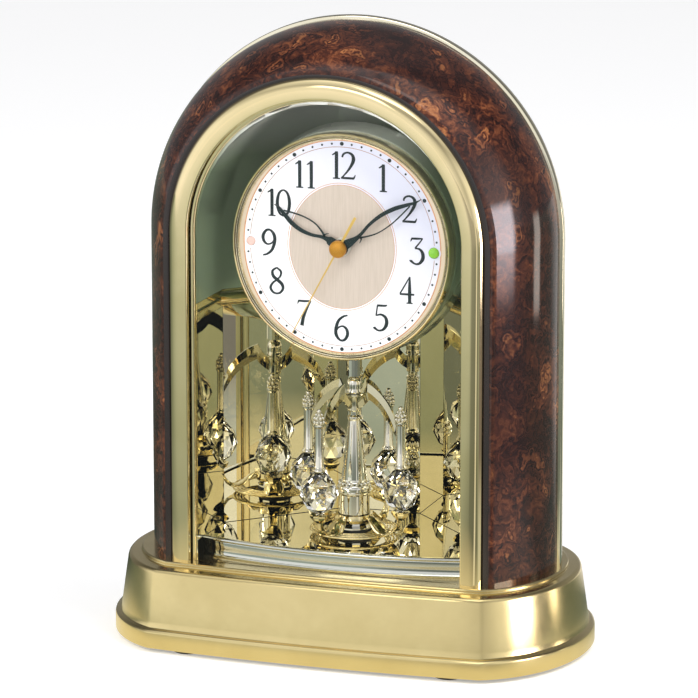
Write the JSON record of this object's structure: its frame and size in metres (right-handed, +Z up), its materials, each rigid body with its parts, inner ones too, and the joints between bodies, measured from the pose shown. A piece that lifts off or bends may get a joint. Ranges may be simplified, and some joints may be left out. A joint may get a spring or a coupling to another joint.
{
  "type": "table clock",
  "caption": "Arched radio-controlled table clock: burl case, gold plinth, round dial over a mirrored bay with a turning crystal ornament.",
  "frame": {"origin": "centre of the bounding box at the surface the feet stand on, under the axis of the turning ornament", "axes": "+Z up, the dial faces -Y, +X to the right seen from the front"},
  "size_m": [0.2266, 0.13, 0.29],
  "materials": {
    "champagne_plinth": "champagne gold lacquer, satin",
    "cream_gold": "pale gold plating, polished",
    "burl": "dark burl veneer pattern under clear gloss",
    "glass": "clear float glass",
    "mirror_gold": "pale gold mirror",
    "bright_gold": "gold plating, polished",
    "chrome": "bright chrome plating",
    "dark_gloss": "dark grey-green gloss",
    "dial_white": "white printed dial, satin",
    "copper_trim": "copper-toned plating with gold rims",
    "hand_dark": "dark green-black lacquer",
    "second_gold": "gold lacquer",
    "lamp_green": "translucent green lens",
    "sensor_pink": "translucent pink window",
    "crystal": "cut clear crystal",
    "black_plastic": "fine-grained moulding",
    "grey_plastic": "fine-grained moulding",
    "white_plastic": "smooth natural acetal",
    "rubber": "matt",
    "steel": "bright ground",
    "cell_jacket": "plain printed sleeve",
    "board_green": "solder-masked laminate",
    "coil_copper": "enamelled copper winding on a dark rod"
  },
  "bodies": {
    "clock": {"plinth_shell": "champagne_plinth", "base_plate": "black_plastic", "rear_housing": "black_plastic", "rear_cover": "black_plastic", "foot_front_left": "rubber", "foot_front_right": "rubber", "foot_rear_left": "rubber", "foot_rear_right": "rubber", "case_band": "burl", "front_ring": "cream_gold", "glass_retainer": "cream_gold", "rear_trim": "cream_gold", "front_glass": "glass", "rear_screw_left": "steel", "rear_screw_right": "steel", "drive_motor": "steel", "side_panel_left": "mirror_gold", "side_panel_right": "mirror_gold", "mirror_left": "mirror_gold", "mirror_right": "mirror_gold", "mirror_centre": "mirror_gold", "stage": "mirror_gold", "cornice": "bright_gold", "shaft_bush": "bright_gold", "stage_fascia": "chrome", "top_bearing": "chrome", "hood": "dark_gloss", "dial_drum": "dark_gloss", "dial_bezel": "copper_trim", "dial_plate": "dial_white", "reception_lamp": "lamp_green", "light_sensor": "sensor_pink", "movement_case": "white_plastic", "battery_cell_1": "cell_jacket", "battery_cell_2": "cell_jacket", "control_board": "board_green", "bar_antenna": "coil_copper"},
    "ornament": {"rotor_shaft": "steel", "rotor_gear": "white_plastic", "rotor_hub": "black_plastic", "rotor_base": "chrome", "scroll_arms": "bright_gold", "column": "chrome", "rib_crown": "bright_gold", "crystal_1": "crystal", "crystal_2": "crystal", "crystal_3": "crystal", "crystal_4": "crystal", "post_1": "chrome", "post_2": "chrome", "post_3": "chrome", "post_4": "chrome"},
    "pinion": {"motor_pinion": "white_plastic"},
    "hour": {"hour_hand": "hand_dark"},
    "minute": {"minute_hand": "hand_dark"},
    "second": {"second_hand": "second_gold"},
    "door": {"battery_door": "black_plastic"},
    "setter": {"set_button": "grey_plastic"},
    "receiver": {"receive_button": "grey_plastic"},
    "switch": {"rotation_switch": "grey_plastic"}
  },
  "joints": [
    {"name": "ornament_spin", "type": "hinge", "parent": "clock", "child": "ornament", "pos_m": [0, 0, 0.06], "axis": [0, 0, 1], "continuous": true},
    {"name": "pinion_spin", "type": "hinge", "parent": "clock", "child": "pinion", "pos_m": [0, 0.0192, 0.0295], "axis": [0, 0, 1], "continuous": true},
    {"name": "minute_turn", "type": "hinge", "parent": "clock", "child": "minute", "pos_m": [0, -0.0173, 0.1871], "axis": [0, 1, 0], "continuous": true},
    {"name": "hour_turn", "type": "hinge", "parent": "clock", "child": "hour", "pos_m": [0, -0.0173, 0.1871], "axis": [0, 1, 0], "continuous": true},
    {"name": "second_turn", "type": "hinge", "parent": "clock", "child": "second", "pos_m": [0, -0.0173, 0.1871], "axis": [0, 1, 0], "continuous": true},
    {"name": "door_swing", "type": "hinge", "parent": "clock", "child": "door", "pos_m": [-0.054, 0.0493, 0.1202], "axis": [-1, 0, 0], "range_deg": [0, 115]},
    {"name": "set_press", "type": "slide", "parent": "clock", "child": "setter", "axis": [0, -1, 0], "range_m": [0, 0.0012], "stiffness_N_per_m": 200},
    {"name": "receive_press", "type": "slide", "parent": "clock", "child": "receiver", "axis": [0, -1, 0], "range_m": [0, 0.0012], "stiffness_N_per_m": 200},
    {"name": "switch_slide", "type": "slide", "parent": "clock", "child": "switch", "axis": [0, 0, 1], "range_m": [0, 0.004]}
  ],
  "couplings": [
    {"joint": "hour_turn", "follows": "minute_turn", "ratio": 0.083333},
    {"joint": "pinion_spin", "follows": "ornament_spin", "ratio": -3}
  ]
}
